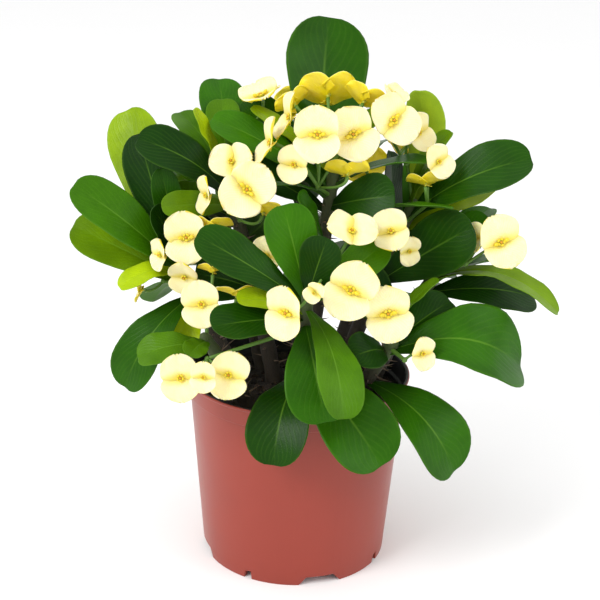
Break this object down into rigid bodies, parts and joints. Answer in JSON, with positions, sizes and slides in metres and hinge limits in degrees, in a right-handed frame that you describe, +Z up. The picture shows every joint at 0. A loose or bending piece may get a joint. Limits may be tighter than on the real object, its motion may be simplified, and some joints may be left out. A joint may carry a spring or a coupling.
{
  "type": "potted crown of thorns euphorbia",
  "caption": "Bushy potted euphorbia with thorny stems, spoon-shaped green leaves and pale yellow blooms, in a thin terracotta-coloured plastic nursery pot.",
  "frame": {"origin": "middle of the pot's foot, on the surface it stands on", "axes": "+Z up, -Y towards the front of the picture, +X to its right"},
  "size_m": [0.2522, 0.1992, 0.2848],
  "materials": {
    "pot": "satin moulded plastic, terracotta outside and black inside",
    "soil": "matt crumbly potting mix",
    "foliage": "waxy leaf with a lighter midrib",
    "bloom": "soft matt petal"
  },
  "bodies": {
    "root": {"bloom_01": "bloom", "bloom_02": "bloom", "bloom_03": "bloom", "bloom_04": "bloom", "bloom_05": "bloom", "bloom_06": "bloom", "bloom_07": "bloom", "bloom_08": "bloom", "bloom_09": "bloom", "bloom_10": "bloom", "bloom_11": "bloom", "bloom_12": "bloom", "bloom_13": "bloom", "bloom_14": "bloom", "bloom_15": "bloom", "bloom_16": "bloom", "bloom_17": "bloom", "bloom_18": "bloom", "bloom_19": "bloom", "bloom_20": "bloom", "bloom_21": "bloom", "bloom_22": "bloom", "bloom_23": "bloom", "bloom_24": "bloom", "bloom_25": "bloom", "bloom_26": "bloom", "bloom_27": "bloom", "bloom_28": "bloom", "bloom_29": "bloom", "bloom_30": "bloom", "bloom_31": "bloom", "bloom_32": "bloom", "bloom_33": "bloom", "bloom_34": "bloom", "bloom_35": "bloom", "bloom_36": "bloom", "bloom_37": "bloom", "bloom_38": "bloom", "bloom_39": "bloom", "bloom_40": "bloom", "bloom_41": "bloom", "bloom_42": "bloom", "bloom_43": "bloom", "bloom_44": "bloom", "bloom_45": "bloom", "bloom_46": "bloom", "bloom_47": "bloom", "pot": "pot", "shoot_back": "foliage", "shoot_back_left": "foliage", "shoot_back_right": "foliage", "shoot_crown_left": "foliage", "shoot_crown_right": "foliage", "shoot_front": "foliage", "shoot_leader": "foliage", "shoot_left": "foliage", "shoot_low_left": "foliage", "shoot_low_right": "foliage", "shoot_right": "foliage", "soil": "soil"}
  },
  "joints": []
}
